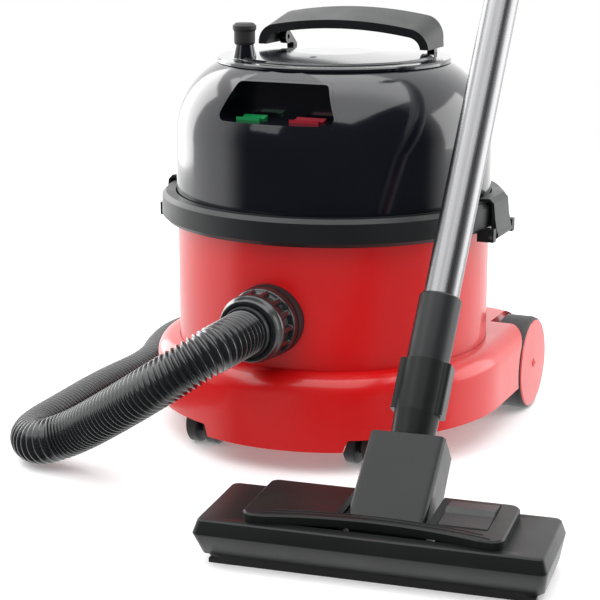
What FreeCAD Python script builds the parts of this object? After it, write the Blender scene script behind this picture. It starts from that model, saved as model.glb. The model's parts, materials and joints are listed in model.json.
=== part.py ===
"""Tub vacuum cleaner with hose, steel wand and floor tool, as separate pieces.

The frame stands on the floor under the middle of the tub: +Z up, the hose inlet at the front (-Y),
+X to the machine's right as seen from the front. Millimetres.
"""
import FreeCAD, Part
import math
import os

import Sketcher

from FreeCAD import Placement, Rotation, Vector

doc = FreeCAD.newDocument("tub_vacuum")
pieces = {}

# ---------------------------------------------------------------- driving dimensions
DRIVING = {
    # tub, chassis and the ring between tub and head
    "tub_radius": 159, "tub_wall": 3, "tub_base": 60, "tub_rim": 230,
    "skirt_radius": 183, "skirt_wall": 4, "skirt_low": 35, "skirt_high": 97, "deck_low": 55,
    "lip_low": 23, "ring_radius": 175, "ring_low": 220, "ring_high": 247,
    "ring_step": 4, "seat_radius": 161.2,
    # wheels and casters
    "wheel_radius": 49.5, "wheel_inner": 148, "wheel_outer": 183, "axle_back": 122, "axle_radius": 6,
    "hub_radius": 46.3, "arch_gap": 4.5, "arch_inner": 141,
    "caster_side": 85, "caster_front": 108, "caster_trail": 14, "caster_wheel": 20,
    "caster_half": 17, "stem_radius": 5,
    # inlet, collar and hose
    "inlet_up": 145, "inlet_bore": 20, "inlet_pipe": 26, "flange_radius": 35, "flange_front": 167,
    "collar_end": 209, "cuff_end": 214, "hose_radius": 22, "hose_up": 22.3,
    "tail_side": 262, "tail_turn": 102, "tail_loop": 160, "tail_back": 580, "tail_end": 350,
    "end_cuff_long": 82,
    # head
    "head_radius": 160, "head_low": 236, "dome_start": 305, "dome_curve": 81,
    "rim_radius": 118, "rim_low": 377, "rim_high": 381, "disc_radius": 100, "disc_low": 378,
    "disc_crown": 386,
    "tray_half_low": 62, "tray_half_high": 46, "tray_low": 331, "tray_high": 367, "tray_back": 104,
    "tray_wall": 2.5, "tray_corner": 6, "rocker_back": 124, "rocker_deep": 20, "rocker_gap": 0.9,
    "handle_half": 93, "handle_leg": 9, "handle_front": 35.5, "handle_back": 15.5,
    "handle_pin": 55, "handle_pivot": 393, "handle_rise": 30.5, "handle_lean": 11.9,
    "knob_side": 70, "knob_front": 62, "knob_radius": 10.4, "knob_low": 395.3, "knob_high": 416,
    # motor
    "motor_radius": 62, "motor_high": 328, "shaft_radius": 5, "fan_radius": 52,
    # floor tool, in its own frame
    "tool_side": 192, "tool_front": 352, "tool_turn": 6.2,
    "sole_low": 4, "sole_high": 8, "cover_high": 42, "pod_high": 50, "cover_wall": 3.5,
    "neck_x": 4, "neck_half": 33, "pivot_back": 18, "pivot_up": 27, "pivot_radius": 17,
    "bend_back": 83, "bend_up": 87, "neck_lean": 47, "wand_lean": 31.8, "wand_drift": 3.3,
    "elbow_radius": 17.6, "collar_start": 20, "collar_radius": 20.2, "wing_half": 23,
    "collar_top": 66, "sleeve_end": 127,
    "sleeve_radius": 19, "wand_radius": 16, "wand_wall": 1, "wand_start": 84, "wand_long": 500,
    "hand_bend": 110, "hand_turn": 38, "end_radius": 15.8,
}


class Size:
    """A number together with the sheet expression that gives it."""

    def __init__(self, value, text):
        self.value = float(value)
        self.text = text

    def _join(self, sign, other, value, swapped=False):
        mine, theirs = self.text, text_of(other)
        left, right = (theirs, mine) if swapped else (mine, theirs)
        return Size(value, "(%s %s %s)" % (left, sign, right))

    def __add__(self, other):
        return self._join("+", other, self.value + number(other))

    def __radd__(self, other):
        return self._join("+", other, number(other) + self.value, True)

    def __sub__(self, other):
        return self._join("-", other, self.value - number(other))

    def __rsub__(self, other):
        return self._join("-", other, number(other) - self.value, True)

    def __mul__(self, other):
        return self._join("*", other, self.value * number(other))

    def __rmul__(self, other):
        return self._join("*", other, number(other) * self.value, True)

    def __truediv__(self, other):
        return self._join("/", other, self.value / number(other))

    def __neg__(self):
        return Size(-self.value, "(0 - %s)" % self.text)


def number(size):
    return size.value if isinstance(size, Size) else float(size)


def text_of(size):
    return size.text if isinstance(size, Size) else repr(float(size))


def make_sheet():
    """The spreadsheet of driving dimensions; gives each back as a Size."""
    sheet = doc.addObject("Spreadsheet::Sheet", "sizes")
    sizes = {}
    for row, (alias, value) in enumerate(DRIVING.items(), start=1):
        sheet.set("A%d" % row, alias)
        sheet.set("B%d" % row, str(value))
        sheet.setAlias("B%d" % row, alias)
        sizes[alias] = Size(value, "sizes." + alias)
    doc.recompute()
    return sizes


D = make_sheet()


# ---------------------------------------------------------------- building blocks
def bind(thing, prop, size):
    if isinstance(size, Size):
        thing.setExpression(prop, size.text)
    else:
        setattr(thing, prop, size)


def vector(point):
    return Vector(*[number(value) for value in point])


def place(thing, base=(0, 0, 0), along=(0, 0, 1), turn=None):
    """Puts a thing's origin at base and its own Z along the given direction."""
    rotation = turn or Rotation(Vector(0, 0, 1), vector(along))
    thing.Placement = Placement(vector(base), rotation)
    for axis, value in zip("xyz", base):
        if isinstance(value, Size):
            thing.setExpression("Placement.Base." + axis, value.text)
    return thing


def box(low, high):
    solid = doc.addObject("Part::Box", "block")
    for prop, first, last in zip(("Length", "Width", "Height"), low, high):
        bind(solid, prop, last - first)
    return place(solid, low)


def cylinder(radius, long, base=(0, 0, 0), along=(0, 0, 1)):
    solid = doc.addObject("Part::Cylinder", "round")
    bind(solid, "Radius", radius)
    bind(solid, "Height", long)
    return place(solid, base, along)


def cone(radius_low, radius_high, long, base=(0, 0, 0), along=(0, 0, 1)):
    solid = doc.addObject("Part::Cone", "taper")
    bind(solid, "Radius1", radius_low)
    bind(solid, "Radius2", radius_high)
    bind(solid, "Height", long)
    return place(solid, base, along)


def fuse(*things):
    joined = doc.addObject("Part::MultiFuse", "joined")
    joined.Shapes = list(things)
    joined.Refine = True
    return joined


def group(*things):
    """Separate solids kept in one node."""
    together = doc.addObject("Part::Compound", "group")
    together.Links = list(things)
    return together


def cut(base, *tools):
    result = doc.addObject("Part::Cut", "cut")
    result.Base = base
    result.Tool = tools[0] if len(tools) == 1 else fuse(*tools)
    return result


def common(base, tool):
    result = doc.addObject("Part::Common", "common")
    result.Base = base
    result.Tool = tool
    return result


def origin_plane(body, role):
    return next(item for item in body.Origin.OriginFeatures if item.Role == role)


def circle_between(start, end, radius):
    """Centre of the arc from start to end; a positive radius turns to the left on the way."""
    (x0, y0), (x1, y1) = start, end
    half = math.hypot(x1 - x0, y1 - y0) / 2
    up = math.sqrt(max(radius * radius - half * half, 0))
    side = 1 if radius > 0 else -1
    nx, ny = -(y1 - y0) / (2 * half), (x1 - x0) / (2 * half)
    return (x0 + x1) / 2 + side * nx * up, (y0 + y1) / 2 + side * ny * up


def add_edge(sketch, start, end, radius):
    """One edge of an outline; gives its index and the position numbers of its two ends."""
    if radius is None:
        line = Part.LineSegment(Vector(*start, 0), Vector(*end, 0))
        return sketch.addGeometry(line), 1, 2
    cx, cy = circle_between(start, end, number(radius))
    first = math.atan2(start[1] - cy, start[0] - cx)
    last = math.atan2(end[1] - cy, end[0] - cx)
    flat_circle = Part.Circle(Vector(cx, cy, 0), Vector(0, 0, 1), abs(number(radius)))
    if number(radius) > 0:
        return sketch.addGeometry(Part.ArcOfCircle(flat_circle, first, last)), 1, 2
    return sketch.addGeometry(Part.ArcOfCircle(flat_circle, last, first)), 2, 1


def pin_point(sketch, edge, end, axis, size):
    """Holds one coordinate of a sketch point to a size."""
    kind = "DistanceX" if axis == 0 else "DistanceY"
    if number(size) == 0:
        sketch.addConstraint(Sketcher.Constraint("PointOnObject", edge, end, -2 if axis == 0 else -1))
        return
    index = sketch.addConstraint(Sketcher.Constraint(kind, -1, 1, edge, end, number(size)))
    if isinstance(size, Size):
        sketch.setExpression("Constraints[%d]" % index, size.text)


def outline(body, role, corners, offset=0):
    """A closed sketch. A corner is (a, b), or (a, b, radius) where an arc leads up to it."""
    sketch = body.newObject("Sketcher::SketchObject", "outline")
    sketch.AttachmentSupport = [(origin_plane(body, role), "")]
    sketch.MapMode = "FlatFace"
    if number(offset):
        sketch.AttachmentOffset = Placement(Vector(0, 0, number(offset)), Rotation())
        if isinstance(offset, Size):
            sketch.setExpression("AttachmentOffset.Base.z", offset.text)
    flat = [(number(corner[0]), number(corner[1])) for corner in corners]
    edges = []
    for index, corner in enumerate(corners):
        radius = corner[2] if len(corner) > 2 else None
        edges.append(add_edge(sketch, flat[index - 1], flat[index], radius))
    for index, corner in enumerate(corners):
        edge, _, end = edges[index]
        nearby, start, _ = edges[(index + 1) % len(edges)]
        sketch.addConstraint(Sketcher.Constraint("Coincident", edge, end, nearby, start))
        pin_point(sketch, edge, end, 0, corner[0])
        pin_point(sketch, edge, end, 1, corner[1])
        if len(corner) > 2:
            held = sketch.addConstraint(Sketcher.Constraint("Radius", edge, abs(number(corner[2]))))
            if isinstance(corner[2], Size):
                text = corner[2].text if number(corner[2]) > 0 else "(0 - %s)" % corner[2].text
                sketch.setExpression("Constraints[%d]" % held, text)
    return sketch


def new_body(name):
    return doc.addObject("PartDesign::Body", name)


def revolve_into(body, corners):
    turned = body.newObject("PartDesign::Revolution", "turned")
    turned.Profile = outline(body, "XZ_Plane", corners)
    turned.ReferenceAxis = (turned.Profile[0], ["V_Axis"])
    turned.Angle = 360
    return turned


def revolved(name, corners, base=(0, 0, 0), along=(0, 0, 1)):
    """A turned piece: corners are (radius, height) in its own frame."""
    body = new_body(name)
    revolve_into(body, corners)
    return place(body, base, along)


def pad_into(body, role, corners, long, offset=0, midplane=False):
    pad = body.newObject("PartDesign::Pad", "pad")
    pad.Profile = outline(body, role, corners, offset)
    pad.Midplane = midplane
    bind(pad, "Length", long)
    return pad


def padded(name, role, corners, long, offset=0, midplane=False):
    """A piece of one outline, extruded along its plane's normal."""
    body = new_body(name)
    pad_into(body, role, corners, long, offset, midplane)
    return body


def lofted(name, sections):
    """A piece through several outlines with equally many corners; a section is (height, corners)."""
    body = new_body(name)
    sketches = [outline(body, "XY_Plane", corners, height) for height, corners in sections]
    loft = body.newObject("PartDesign::AdditiveLoft", "loft")
    loft.Profile = sketches[0]
    loft.Sections = sketches[1:]
    return body


def rounded_rectangle(left, right, front, back, radius):
    """Corners of a rectangle with round corners, anticlockwise."""
    return [
        (left + radius, front, radius), (right - radius, front), (right, front + radius, radius),
        (right, back - radius), (right - radius, back, radius), (left + radius, back),
        (left, back - radius, radius), (left, front + radius),
    ]


def dress_edges(body, kind, prop, size, chosen):
    """Adds a fillet or chamfer on the edges that the test picks."""
    doc.recompute()
    base = body.Tip
    names = ["Edge%d" % (index + 1) for index, edge in enumerate(base.Shape.Edges) if chosen(edge)]
    dressing = body.newObject("PartDesign::" + kind, kind.lower())
    dressing.Base = (base, names)
    bind(dressing, prop, size)


def round_edges(body, radius, chosen):
    dress_edges(body, "Fillet", "Radius", radius, chosen)


def bevel_edges(body, size, chosen):
    dress_edges(body, "Chamfer", "Size", size, chosen)


def edge_low(edge):
    return edge.BoundBox.ZMin


def edge_high(edge):
    return edge.BoundBox.ZMax


def flat_at(height):
    """A test for edges that lie level at a height."""
    return lambda edge: abs(edge_low(edge) - height) < 0.01 and abs(edge_high(edge) - height) < 0.01


def piece(name, thing, frame=None):
    """Names a finished sub-part; a frame moves it into place."""
    thing.Label = name
    if frame is not None:
        thing.Placement = frame.multiply(thing.Placement)
    pieces[name] = thing
    return thing


FRONT = (0, -1, 0)
inlet = (0, 0, D["inlet_up"])


# ---------------------------------------------------------------- tub, chassis and ring
def build_tub():
    radius, wall, base = D["tub_radius"], D["tub_wall"], D["tub_base"]
    shell = revolved("tub", [
        (0, base), (radius - 10, base), (radius, base + 10), (radius, D["tub_rim"]),
        (radius - wall, D["tub_rim"]), (radius - wall, base + 11), (radius - 11, base + wall),
        (0, base + wall)])
    hole = cylinder(D["inlet_pipe"] + 0.3, 60, (0, -130, D["inlet_up"]), FRONT)
    piece("tub_shell", cut(shell, hole))


def chassis_plan(radius, back, corner):
    """Round at the front, straight at the sides, with round corners at the back."""
    return [(0, -radius, radius), (radius, 0, radius), (radius, back - corner),
            (radius - corner, back, corner), (corner - radius, back), (-radius, back - corner, corner),
            (-radius, 0)]


def build_chassis():
    radius, wall = D["skirt_radius"] - 1, D["skirt_wall"]
    back = D["axle_back"] + 50
    body = new_body("chassis")
    pad_into(body, "XY_Plane", chassis_plan(radius, back, 70), D["skirt_high"] - D["skirt_low"],
             D["skirt_low"])
    round_edges(body, 19, flat_at(D["skirt_high"].value))
    up = (0, 0, 1)
    inner = padded("chassis_inside", "XY_Plane", chassis_plan(radius - wall, back - wall, 66),
                   D["deck_low"] - D["skirt_low"], D["skirt_low"])
    gutter = padded("gutter", "XY_Plane", chassis_plan(radius - wall, back - wall, 66),
                    20, D["deck_low"])
    keep = cylinder(D["tub_radius"] + wall, 30, (0, 0, D["deck_low"] - 5), up)
    bore = cylinder(D["tub_radius"] + 0.3, 80, (0, 0, D["tub_base"] - 0.3), up)
    axle_line = (D["axle_back"], D["wheel_radius"])
    arches = []
    for side in (-1, 1):
        start = (side * D["arch_inner"].value, *axle_line)
        arches.append(cylinder(D["wheel_radius"] + D["arch_gap"], 60, start, (side, 0, 0)))
    under = box((-220, D["axle_back"] - 80, -20), (220, D["axle_back"] + 80, D["skirt_low"]))
    axle_hole = cylinder(D["axle_radius"] + 0.3, 400, (-200, *axle_line), (1, 0, 0))
    lip = cut(cylinder(radius, 26, (0, 0, D["lip_low"]), up),
              cylinder(radius - wall, 40, (0, 0, D["lip_low"] - 5), up),
              box((-250, -150, 0), (250, 250, 80)))
    lip_window = front_block("lip_window", [(-54, 0), (71, 0), (83, 37), (-66, 37)], 100, 220)
    bosses = [cylinder(13, D["deck_low"] - 45.9, (side * D["caster_side"], -D["caster_front"], 45.9), up)
              for side in (-1, 1)]
    stems = [cylinder(D["stem_radius"] + 0.05, 12.6, (side * D["caster_side"], -D["caster_front"], 45),
                      up) for side in (-1, 1)]
    shell = cut(body, inner, cut(gutter, keep))
    whole = fuse(shell, common(lip, lip_window), *bosses)
    piece("chassis_skirt", cut(whole, bore, under, axle_hole, *arches, *stems))


def build_ring():
    radius, step, low, high = D["ring_radius"], D["ring_step"], D["ring_low"], D["ring_high"]
    tub, seat, rim = D["tub_radius"], D["seat_radius"], D["tub_rim"]
    ring = revolved("ring", [
        (tub + 0.2, low), (radius - step, low), (radius, low + step), (radius, high - step),
        (radius - step, high), (seat, high), (seat, rim + 4), (150, rim + 4), (150, rim),
        (tub + 0.2, rim)])
    lugs = [box((side * 174 - 8.5, end * 31 - 4, 211), (side * 174 + 8.5, end * 31 + 4, 224))
            for side in (-1, 1) for end in (-1, 1)]
    tub_space = cylinder(tub + 0.2, 40, (0, 0, 200))
    pin_holes = [cylinder(2, 90, (side * LATCH_PIVOT, -45, LATCH_UP), (0, 1, 0)) for side in (-1, 1)]
    piece("bumper_ring", cut(fuse(ring, *lugs), tub_space, *pin_holes))
    piece("latch_pins", group(*[
        cylinder(2, 70, (side * LATCH_PIVOT, -35, LATCH_UP), (0, 1, 0)) for side in (-1, 1)]))


LATCH_PIVOT = 179.8
LATCH_UP = 216


def build_latch(name, side):
    """A clip that swings out about the pin at its lower edge."""
    body = padded(name + "_profile", "XZ_Plane", [
        (side * 176, LATCH_UP), (side * 176, 248.2), (side * 164.5, 248.2), (side * 163.5, 251),
        (side * 174, 251.6), (side * 178.6, 247), (side * 180, 232), (side * 183, LATCH_UP)],
        46, midplane=True)
    knuckle = cylinder(3.8, 46, (side * LATCH_PIVOT, -23, LATCH_UP), (0, 1, 0))
    pin = cylinder(2.05, 60, (side * LATCH_PIVOT, -30, LATCH_UP), (0, 1, 0))
    piece(name, cut(fuse(body, knuckle), pin))


# ---------------------------------------------------------------- wheels and casters
def build_rear_wheels():
    radius, inner, outer, hub = D["wheel_radius"], D["wheel_inner"], D["wheel_outer"], D["hub_radius"]
    spot = (D["axle_back"], radius)
    piece("rear_axle", cylinder(D["axle_radius"], 352, (-176, *spot), (1, 0, 0)))
    brackets = []
    for side in (-1, 1):
        block = box((side * 126 - 8, D["axle_back"] - 14, D["wheel_radius"] - 12),
                    (side * 126 + 8, D["axle_back"] + 14, D["deck_low"]))
        brackets.append(cut(block, cylinder(D["axle_radius"], 40, (side * 126 - 20, *spot), (1, 0, 0))))
    piece("axle_brackets", group(*brackets))
    for name, side in (("left", -1), ("right", 1)):
        across, wide = (side, 0, 0), outer - inner
        tyre = revolved("tyre_" + name, [
            (hub, 0), (radius - 3, 0), (radius, 3), (radius, wide - 7), (radius - 1.2, wide - 3),
            (hub + 0.6, wide - 1.5), (hub, wide - 1.5)], (side * inner, *spot), across)
        piece("tyre_" + name, tyre)
        disc = revolved("disc_" + name, [
            (D["axle_radius"] + 0.05, 0), (15, 0), (15, 10), (hub, 10), (hub, wide - 1.5),
            (hub - 1.5, wide - 0.6), (0, wide), (0, wide - 6.5),
            (D["axle_radius"] + 0.05, wide - 6.5)], (side * inner, *spot), across)
        piece("wheel_disc_" + name, disc)


def build_caster(name, side):
    across, front = side * D["caster_side"], D["caster_front"]
    wheel, half, trail = D["caster_wheel"], D["caster_half"], D["caster_trail"]
    wheel_back = -trail - front
    stem = cylinder(D["stem_radius"], 16.5, (across, -front, 41))
    crown = cylinder(15, 4.4, (across, -front, 41.2))
    web = box((across - 3, wheel_back - 8, 13), (across + 3, -front + 5, 41.2))
    pin = cylinder(2.5, half * 2 - 2, (across - half + 1, wheel_back, wheel), (1, 0, 0))
    piece("caster_fork_" + name, fuse(stem, crown, web, pin))
    wheels = []
    for way in (-1, 1):
        start = (across + way * 3.5, wheel_back, wheel)
        rounding = revolved("caster_tread_%s_%d" % (name, way + 1), [
            (2.55, 0), (wheel - 1.5, 0), (wheel, 1.5), (wheel, half - 6), (wheel - 3, half - 3.5),
            (2.55, half - 3.5)], start, (way, 0, 0))
        wheels.append(rounding)
    piece("caster_wheels_" + name, group(*wheels))


# ---------------------------------------------------------------- inlet, bag and filter
def build_inlet():
    flange = cut(cylinder(D["flange_radius"], D["flange_front"] - 148, (0, -148, D["inlet_up"]), FRONT),
                 cylinder(D["tub_radius"], 200, (0, 0, 50)))
    pipe = cylinder(D["inlet_pipe"], D["flange_front"] - 132, (0, -132, D["inlet_up"]), FRONT)
    bore = cylinder(D["inlet_bore"], 80, (0, -110, D["inlet_up"]), FRONT)
    piece("inlet_socket", cut(fuse(flange, pipe), bore))
    start, end = D["flange_front"] + 0.4, D["collar_end"]
    collar = revolved("collar", [
        (24.7, 0), (33.5, 0), (34.5, 1.5), (34.5, 11), (32.5, 13), (31.5, 13), (30.2, end - start - 8),
        (28.2, end - start), (24.7, end - start)], (0, -start, D["inlet_up"]), FRONT)
    notches = []
    for index in range(14):
        angle = 2 * math.pi * index / 14
        notch = cylinder(2.6, 11.5, (0, 0, 0), FRONT)
        spot = (36 * math.cos(angle), -start, D["inlet_up"] + 36 * math.sin(angle))
        notches.append(place(notch, spot, FRONT))
    piece("hose_collar", cut(collar, *notches))
    spigot, long = D["inlet_bore"] - 0.2, D["cuff_end"] - 140
    cuff = revolved("cuff", [
        (16, 0), (spigot, 0), (spigot, 27.6), (24.4, 27.6), (24.4, long - 3), (23.4, long), (16, long)],
        (0, -140, D["inlet_up"]), FRONT)
    piece("hose_cuff", cuff)


def build_bag_and_filter():
    board = box((-34, -131.5, D["inlet_up"] - 34), (34, -129.5, D["inlet_up"] + 34))
    sleeve = cylinder(24, 12, (0, -117.5, D["inlet_up"]), FRONT)
    piece("bag_collar", cut(fuse(board, sleeve), cylinder(19, 40, (0, -110, D["inlet_up"]), FRONT)))
    bag = new_body("bag")
    revolve_into(bag, [(0, 66), (84, 66), (114, 96, 30), (114, 128), (92, 150, 22), (0, 150)])
    piece("dust_bag", bag)
    ring = revolved("filter_hoop", [(142, 224), (149.6, 224), (149.6, 233.6), (142, 233.6)])
    piece("filter_ring", ring)
    cloth = revolved("cloth", [(0, 160), (96, 160), (141.8, 224), (141.8, 233), (139.8, 233),
                               (139.8, 224.7), (95, 162), (0, 162)])
    piece("filter_cloth", cloth)


# ---------------------------------------------------------------- head
def dome_profile(inset):
    """Half section of the dome; the inset gives the inner skin."""
    radius, curve, start = D["head_radius"], D["dome_curve"], D["dome_start"]
    centre = radius - curve
    top = D["rim_low"] - inset
    reach = math.sqrt((curve.value - inset) ** 2 - (top.value - start.value) ** 2)
    return [(0, D["head_low"]), (radius - inset, D["head_low"]), (radius - inset, start),
            (centre + reach, top, curve - inset), (0, top)]


def facet(inset):
    """The sloping flat above the switches, as the block that it takes away."""
    front, top = 153.5 - inset, 116.0 - inset
    body = padded("facet_%d" % inset, "YZ_Plane", [
        (-front, D["tray_low"] + 1), (-top, D["rim_low"]), (-top, D["rim_low"] + 40),
        (-230, D["rim_low"] + 40), (-230, D["tray_low"] + 1)], 160, midplane=True)
    return body


def tray_outline(grow):
    """The recess as seen from the front: wider below, with round corners."""
    low, high = D["tray_half_low"] + grow, D["tray_half_high"] + grow
    bottom, top, turn = D["tray_low"] - grow, D["tray_high"] + grow, D["tray_corner"]
    slope = math.atan2(number(top - bottom), number(low - high))
    wide, near = turn / math.tan(slope / 2), turn * math.tan(slope / 2)
    cos, sin = math.cos(slope), math.sin(slope)
    return [(wide - low, bottom, turn), (low - wide, bottom),
            (low - wide * cos, bottom + wide * sin, turn), (high + near * cos, top - near * sin),
            (high - near, top, turn), (near - high, top), (-high - near * cos, top - near * sin, turn),
            (wide * cos - low, bottom + wide * sin)]


def front_block(name, corners, start, end):
    """An outline seen from the front, as a block from start to end in front of the middle."""
    body = padded(name, "XZ_Plane", corners, end - start, start)
    return body


def build_dome():
    outer = cut(revolved("dome_outside", dome_profile(0)), facet(0))
    inner = cut(revolved("dome_inside", dome_profile(3)), facet(3))
    mouth = front_block("tray_mouth", tray_outline(D["tray_wall"]), D["tray_back"] - 2, 175)
    top_hole = cylinder(104, 30, (0, 0, 360))
    cable_hole = cylinder(9.7, 20, (0, 150, 290), (0, 1, 0))
    piece("head_dome", cut(outer, inner, mouth, top_hole, cable_hole))
    return outer


def build_head_base():
    piece("head_seal", revolved("seal", [(151.5, 234.4), (159, 234.4), (159, 236), (151.5, 236)]))
    pan_bore = cylinder(34, 30, (0, 0, 225))
    pan = revolved("pan", [(0, 236), (156.9, 236), (156.9, 242), (140, 242), (134, 240), (0, 240)])
    screw_spots = [(148 * math.cos(math.radians(angle)), 148 * math.sin(math.radians(angle)))
                   for angle in range(15, 375, 60)]
    holes = [cylinder(2.2, 30, (*spot, 220)) for spot in screw_spots]
    piece("head_pan", cut(pan, pan_bore, *holes))
    screws = [fuse(cylinder(3.4, 1.9, (*spot, 234.1)), cylinder(2.1, 12, (*spot, 236)))
              for spot in screw_spots]
    return screws


def build_top_cover():
    rim, low, high, disc = D["rim_radius"], D["rim_low"], D["rim_high"], D["disc_radius"]
    ring = revolved("rim_cover", [(disc + 0.5, low), (rim, low), (rim, high - 1.5),
                                  (rim - 1.5, high), (disc + 0.5, high)])
    pin, pivot = D["handle_pin"], D["handle_pivot"]
    face = D["handle_half"] - D["handle_leg"] - 1.6
    lugs, holes = [], []
    for side in (-1, 1):
        start = side * (face - LUG_WIDE / 2) - LUG_WIDE / 2
        foot = pin + 13
        arm = padded("lug_%d" % (side + 1), "YZ_Plane", [
            (foot, low + 1), (foot + 9, low + 1), (foot + 9, pivot - 8), (pin + 5, pivot + 5),
            (pin - 5, pivot - 5.3), (foot, pivot - 7)], LUG_WIDE, start)
        lugs += [arm, cylinder(7, LUG_WIDE, (start, pin, pivot), (1, 0, 0))]
        holes.append(cylinder(2.55, LUG_WIDE + 2, (start - 1, pin, pivot), (1, 0, 0)))
    piece("top_cover", cut(fuse(ring, *lugs), *holes))


LUG_WIDE = 7.6
CROWN = 413
SHOULDER = 22


def build_handle():
    """A wide bowed strap that leans to the front, on two pins at its lower back corners."""
    half, leg, rise = D["handle_half"], D["handle_leg"], D["handle_rise"]
    front, back = D["handle_front"], D["handle_back"]
    pin, pivot = D["handle_pin"], D["handle_pivot"]
    inner, low = half - leg, -10
    bow = padded("bow", "XZ_Plane", [
        (half, low), (half, 2), (half - 18, rise - 6.9, SHOULDER), (0, rise, CROWN),
        (18 - half, rise - 6.9, CROWN), (-half, 2, SHOULDER), (-half, low), (-inner, low),
        (-inner, 2), (10.6 - inner, rise - leg - 6.7, leg - SHOULDER), (0, rise - leg, leg - CROWN),
        (inner - 10.6, rise - leg - 6.7, leg - CROWN), (inner, 2, leg - SHOULDER), (inner, low)],
        front + back, -back)
    relief = padded("relief", "YZ_Plane", [
        (10, low - 2), (30, low - 2), (30, rise - leg), (back, rise - leg), (10, 0)], 200,
        midplane=True)
    tilt = Rotation(Vector(1, 0, 0), D["handle_lean"].value)
    for thing in (bow, relief):
        place(thing, (0, pin, pivot), turn=tilt)
    below = box((-100, 0, pivot - 20), (100, 90, pivot - 5))
    stubs = [cylinder(2.5, leg / 2 + LUG_WIDE, (side * (half - leg - LUG_WIDE / 2 + 2.25)
                                                 - leg / 4 - LUG_WIDE / 2, pin, pivot), (1, 0, 0))
             for side in (-1, 1)]
    piece("carry_handle", fuse(cut(bow, relief, below), *stubs))


def build_tray(outer):
    wall, back = D["tray_wall"], D["tray_back"]
    block = front_block("tray_block", tray_outline(wall - 0.1), back - wall, 170)
    hollow = front_block("tray_hollow", tray_outline(0), back, 180)
    tray = common(cut(block, hollow), outer)
    openings, pins = [], []
    for spot, half in ROCKERS.values():
        gap, deep = D["rocker_gap"], D["rocker_deep"]
        openings.append(box((spot - half - 0.4, -D["rocker_back"] - deep / 2 - gap, 320),
                            (spot + half + 0.4, -D["rocker_back"] + deep / 2 + gap, 345)))
        pins.append(cylinder(0.9, half * 2 + 4.4, (spot - half - 2.2, -D["rocker_back"], ROCKER_UP),
                             (1, 0, 0)))
    piece("switch_tray", cut(tray, *openings, *pins))


ROCKERS = {"power_rocker": (-33, 12), "speed_rocker": (25, 15)}
ROCKER_UP = 329.8


def build_rocker(name, spot, half):
    deep = D["rocker_deep"] / 2
    body = padded(name + "_profile", "YZ_Plane", [
        (-deep, 326), (deep, 326), (deep, 334), (2, 331.8), (-2, 331.8), (-deep, 334)],
        half * 2, midplane=True)
    place(body, (spot, -D["rocker_back"], 0))
    stub = cylinder(0.85, half * 2 + 4, (spot - half - 2, -D["rocker_back"], ROCKER_UP), (1, 0, 0))
    piece(name, fuse(body, stub))


def build_motor(screws):
    radius, high, shaft = D["motor_radius"], D["motor_high"], D["shaft_radius"]
    foot = D["head_low"] + 4.2
    case = revolved("motor_case", [
        (radius - 3, foot), (radius + 6, foot), (radius + 6, foot + 3), (radius, foot + 3),
        (radius, high - 6), (radius - 6, high), (shaft + 0.05, high), (shaft + 0.05, high - 12),
        (14, high - 12), (14, high - 3), (radius - 7, high - 3), (radius - 3, high - 7),
        (radius - 3, 275), (shaft + 0.05, 275), (shaft + 0.05, 269), (radius - 3, 269)])
    piece("motor_housing", case)
    piece("motor_field", revolved("field", [(39, 280), (radius - 3.4, 280), (radius - 3.4, 312),
                                            (39, 312)]))
    piece("motor_shaft", cylinder(shaft, high - 247, (0, 0, 246)))
    piece("armature", revolved("winding", [(shaft, 280), (30, 280), (36, 284), (36, 308), (30, 312),
                                           (shaft, 312)]))
    fan = D["fan_radius"]
    piece("impeller", revolved("fan", [(shaft, 250), (12, 250), (12, 257), (fan, 262), (fan, 264),
                                       (12, 266), (shaft, 266)]))
    deck = cut(cylinder(146, 3, (0, 0, 333)), box((-90, -160, 330), (90, -99, 340)))
    post = cylinder(6, 41, (0, 0, 333))
    struts = [box((side * 100 - 4, -20, 242), (side * 100 + 4, 20, 333)) for side in (-1, 1)]
    piece("winder_deck", fuse(deck, post, *struts))
    piece("head_screws", group(*screws))
    bush = revolved("bush", [(5, 0), (9.4, 0), (9.4, 11.2), (15, 11.2), (13, 15), (9, 19), (5, 19)],
                    (0, 149.5, 290), (0, 1, 0))
    piece("cable_outlet_bush", bush)


def build_winder():
    radius, low, crown = D["disc_radius"], D["disc_low"], D["disc_crown"]
    drum = revolved("drum", [(6.05, 340), (90, 340), (90, 343), (45, 343), (45, 371), (90, 371),
                             (90, 374), (16, 374), (16, low), (6.05, low)])
    piece("cable_drum", drum)
    disc = revolved("disc", [(0, low), (radius, low), (radius, low + 3.5), (radius - 3, low + 5),
                             (40, crown), (0, crown)])
    spot = (-D["knob_side"], -D["knob_front"])
    post = cone(12, 9, D["knob_low"] - 0.4 - low - 4, (*spot, low + 4))
    pin = cylinder(3, D["knob_high"] - low - 8, (*spot, low + 4))
    finger_hole = cylinder(3.5, 20, (2, -58, crown - 3.5))
    piece("winder_disc", cut(fuse(disc, post, pin), finger_hole))
    low_end, high_end, wide = D["knob_low"], D["knob_high"], D["knob_radius"]
    knob = revolved("knob", [
        (3.05, 0), (wide - 1, 0), (wide, 2), (wide, high_end - low_end - 8),
        (wide + 1.25, high_end - low_end - 6), (wide + 1.25, high_end - low_end - 2.5),
        (wide - 1.5, high_end - low_end), (0, high_end - low_end), (0, high_end - low_end - 3),
        (3.05, high_end - low_end - 3)], (*spot, low_end))
    piece("winder_knob", knob)


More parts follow.
